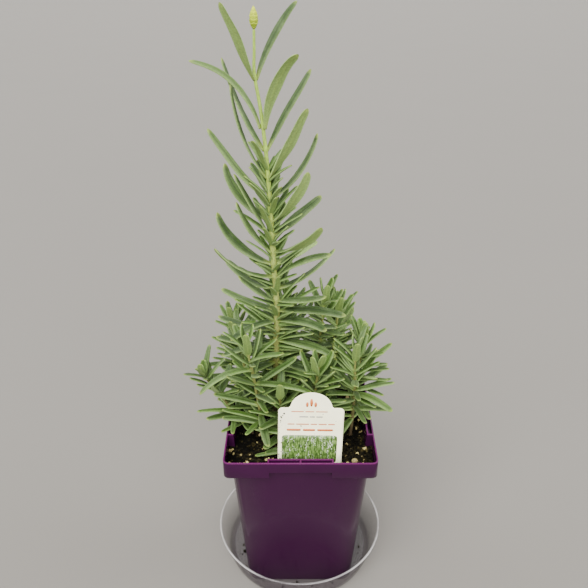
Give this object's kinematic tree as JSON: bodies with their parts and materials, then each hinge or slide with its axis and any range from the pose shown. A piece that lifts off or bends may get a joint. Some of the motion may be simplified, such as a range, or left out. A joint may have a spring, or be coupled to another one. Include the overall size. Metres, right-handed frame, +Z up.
{
  "type": "potted lavender",
  "caption": "Young lavender of one tall budding stem and many side shoots, in a purple square nursery pot with a plant label, standing in a clear drip saucer.",
  "frame": {"origin": "centre of the saucer's underside, below the pot's axis, on the surface it stands on", "axes": "+Z up along the pot's axis; -Y towards the front, the side with the plant label; +X to the right seen from the front"},
  "size_m": [0.1504, 0.1453, 0.4436],
  "materials": {
    "clear_plastic": "clear, glossy, thin vacuum-formed sheet",
    "purple_plastic": "injection-moulded, satin gloss",
    "potting_mix": "dark moist peat and composted bark, crumbly",
    "label_plastic": "off-white printed sheet, satin",
    "stem_green": "green at the top, brown and woody below, finely hairy",
    "bud_green": "yellow-green overlapping bracts, matte",
    "leaf_green": "grey-green felted leaf with pale edges, matte",
    "shoot_green": "felted leaves and soft stem of a young shoot, matte",
    "pale_bark": "pale weathered bark, rough"
  },
  "bodies": {
    "root": {"drip_saucer": "clear_plastic", "nursery_pot": "purple_plastic", "potting_mix": "potting_mix", "plant_label": "label_plastic", "main_stem": "stem_green", "flower_bud": "bud_green", "leaf_01_left": "leaf_green", "leaf_01_right": "leaf_green", "leaf_02_left": "leaf_green", "leaf_02_right": "leaf_green", "leaf_03_left": "leaf_green", "leaf_03_right": "leaf_green", "leaf_04_left": "leaf_green", "leaf_04_right": "leaf_green", "leaf_05_left": "leaf_green", "leaf_05_right": "leaf_green", "leaf_06_left": "leaf_green", "leaf_06_right": "leaf_green", "leaf_07_left": "leaf_green", "leaf_07_right": "leaf_green", "leaf_08_left": "leaf_green", "leaf_08_right": "leaf_green", "leaf_09_left": "leaf_green", "leaf_09_right": "leaf_green", "leaf_10_left": "leaf_green", "leaf_10_right": "leaf_green", "leaf_11_left": "leaf_green", "leaf_11_right": "leaf_green", "leaf_12_left": "leaf_green", "leaf_12_right": "leaf_green", "leaf_13_left": "leaf_green", "leaf_13_right": "leaf_green", "leaf_14_left": "leaf_green", "leaf_14_right": "leaf_green", "leaf_15_left": "leaf_green", "leaf_15_right": "leaf_green", "leaf_16_left": "leaf_green", "leaf_16_right": "leaf_green", "leaf_17_left": "leaf_green", "leaf_17_right": "leaf_green", "leaf_18_left": "leaf_green", "leaf_18_right": "leaf_green", "shoot_front_left": "shoot_green", "shoot_left": "shoot_green", "shoot_left_tall": "shoot_green", "shoot_right_front": "shoot_green", "shoot_right": "shoot_green", "shoot_middle": "shoot_green", "shoot_front": "shoot_green", "shoot_front_low": "shoot_green", "shoot_inner_right": "shoot_green", "shoot_right_tall": "shoot_green", "shoot_back_right": "shoot_green", "shoot_back": "shoot_green", "shoot_back_left": "shoot_green", "bark_chip_1": "pale_bark", "bark_chip_2": "pale_bark", "bark_chip_3": "pale_bark", "bark_chip_4": "pale_bark", "bark_chip_5": "pale_bark"}
  },
  "joints": []
}
